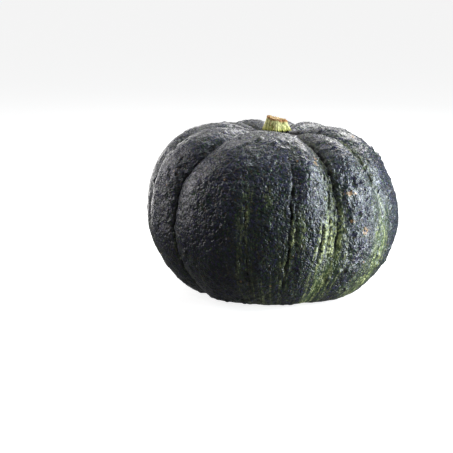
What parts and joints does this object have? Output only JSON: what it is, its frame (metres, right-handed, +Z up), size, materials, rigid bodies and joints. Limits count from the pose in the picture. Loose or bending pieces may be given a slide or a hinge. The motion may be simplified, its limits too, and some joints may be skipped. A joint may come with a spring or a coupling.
{
  "type": "kabocha squash",
  "caption": "Whole ripe kabocha squash, squat and ribbed, with a pebbled blue-green rind, green furrow stripes and a short corky cut stem.",
  "frame": {"origin": "centre of the outline seen from above, on the surface that the squash rests on", "axes": "+Z up through the stem, -Y towards the front, with the wide rib between the two deep furrows, +X to the right seen from the front"},
  "size_m": [0.2104, 0.211, 0.1447],
  "materials": {
    "rind": "satin",
    "stem_cork": "matte"
  },
  "bodies": {
    "root": {"squash_body": "rind", "stem": "stem_cork"}
  },
  "joints": []
}
